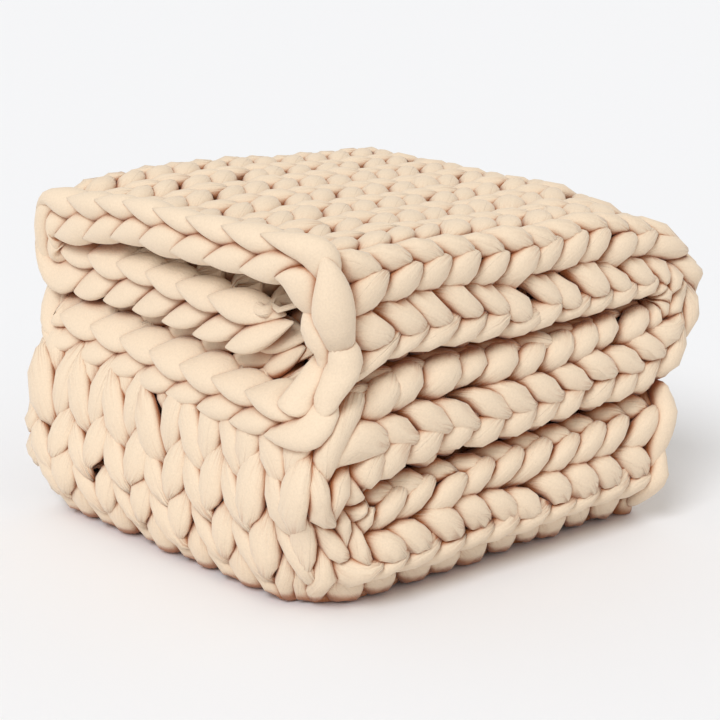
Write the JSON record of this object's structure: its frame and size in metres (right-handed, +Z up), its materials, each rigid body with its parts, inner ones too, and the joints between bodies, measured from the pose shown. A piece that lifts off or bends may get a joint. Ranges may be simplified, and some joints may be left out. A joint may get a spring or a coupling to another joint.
{
  "type": "weighted blanket",
  "caption": "Chunky hand-knit weighted blanket of stuffed jersey tube, its sides folded in and the strip laid back and forth into a soft square stack",
  "frame": {"origin": "the middle of the stack's footprint, on the surface it lies on", "axes": "+X runs along the knit's columns, from the open end of the top section to the end where that section turns down; +Y runs across the strip, from its closed near edge to the far edge; +Z is up"},
  "size_m": [0.4118, 0.3706, 0.2693],
  "materials": {
    "stuffed_jersey_tube": "matte cotton jersey over a soft, heavy filling"
  },
  "bodies": {
    "root": {"blanket": "stuffed_jersey_tube"}
  },
  "joints": []
}
